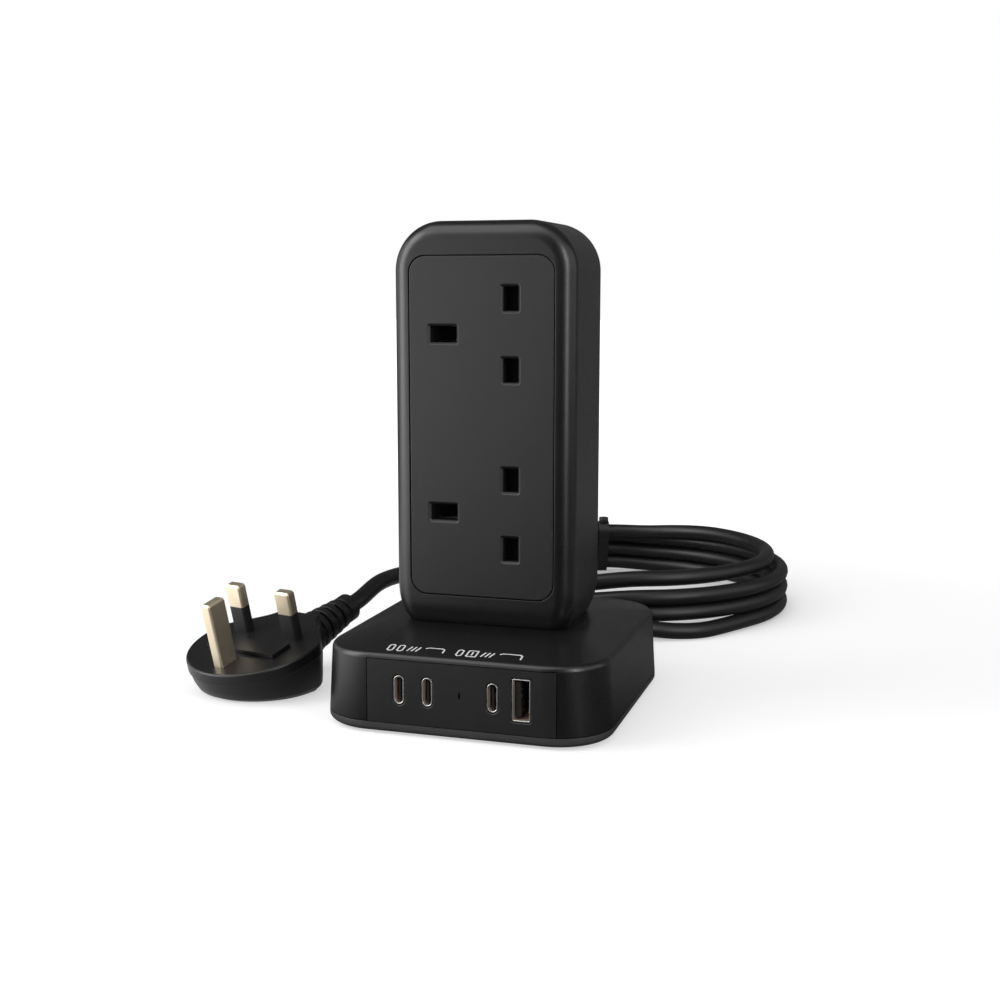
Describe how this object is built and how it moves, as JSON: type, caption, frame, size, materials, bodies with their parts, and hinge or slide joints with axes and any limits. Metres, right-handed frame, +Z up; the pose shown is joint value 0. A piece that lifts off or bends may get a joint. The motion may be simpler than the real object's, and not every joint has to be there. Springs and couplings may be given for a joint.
{
  "type": "tower power strip",
  "caption": "Upright power strip: a square base with charging ports carries a slim tower with three-pin sockets; coiled lead and plug lie beside it.",
  "frame": {"origin": "centre of the base's outline on the surface it stands on", "axes": "+Z up, -Y out of the sockets and ports, +X to the right seen from the front"},
  "size_m": [0.1864, 0.2798, 0.1582],
  "materials": {
    "case_black": "fine matte",
    "face_black": "fine matte",
    "slot_grey": "matte",
    "ivory": "matte",
    "steel": "satin",
    "rubber_black": "matte",
    "cord_black": "satin",
    "brass": "satin",
    "board": "satin",
    "winding": "satin",
    "can": "satin",
    "wire_brown": "satin",
    "wire_blue": "satin",
    "wire_green": "satin"
  },
  "bodies": {
    "case": {"base_cover": "case_black", "base_plate": "case_black", "port_panel": "face_black", "usb_c_shell_1": "steel", "usb_c_shell_2": "steel", "usb_c_shell_3": "steel", "usb_a_shell": "steel", "usb_c_tongue_1": "slot_grey", "usb_c_tongue_2": "slot_grey", "usb_c_tongue_3": "slot_grey", "usb_a_tongue": "ivory", "light_pipe": "ivory", "port_board": "board", "power_board": "board", "transformer": "winding", "capacitor_1": "can", "capacitor_2": "can", "board_link": "slot_grey", "board_screws": "steel", "foot_1": "rubber_black", "foot_2": "rubber_black", "foot_3": "rubber_black", "foot_4": "rubber_black", "base_screws": "steel", "gland": "rubber_black", "cord_tail": "cord_black", "cord_clamp": "case_black", "clamp_screws": "steel", "tower_shell": "case_black", "front_plate": "face_black", "back_cover": "case_black", "plate_screws": "steel", "cover_screws": "steel", "tower_screws": "steel", "upper_carrier": "ivory", "lower_carrier": "ivory", "carrier_screws": "steel", "upper_spring": "steel", "lower_spring": "steel", "live_bar": "brass", "neutral_bar": "brass", "earth_bar": "brass", "live_wire": "wire_brown", "neutral_wire": "wire_blue", "earth_wire": "wire_green", "plug_body": "case_black", "live_pin": "brass", "neutral_pin": "brass", "earth_pin": "brass", "pin_sleeves": "rubber_black", "fuse_contacts": "brass", "plug_relief": "rubber_black", "lead_to_coil": "cord_black", "lead_coil": "cord_black", "lead_to_plug": "cord_black", "coil_tie": "cord_black"},
    "upper_shutter_body": {"upper_shutter": "slot_grey"},
    "lower_shutter_body": {"lower_shutter": "slot_grey"},
    "fuse_holder": {"fuse_carrier": "slot_grey", "fuse": "ivory"}
  },
  "joints": [
    {"name": "upper_shutter_slide", "type": "slide", "parent": "case", "child": "upper_shutter_body", "axis": [-1, 0, 0], "range_m": [0, 0.0062], "stiffness_N_per_m": 150, "springref_m": -0.003, "deforming": ["upper_spring"]},
    {"name": "lower_shutter_slide", "type": "slide", "parent": "case", "child": "lower_shutter_body", "axis": [-1, 0, 0], "range_m": [0, 0.0062], "stiffness_N_per_m": 150, "springref_m": -0.003, "deforming": ["lower_spring"]},
    {"name": "fuse_slide", "type": "slide", "parent": "case", "child": "fuse_holder", "axis": [-0.0626, -0.2337, 0.9703], "range_m": [0, 0.025]}
  ]
}
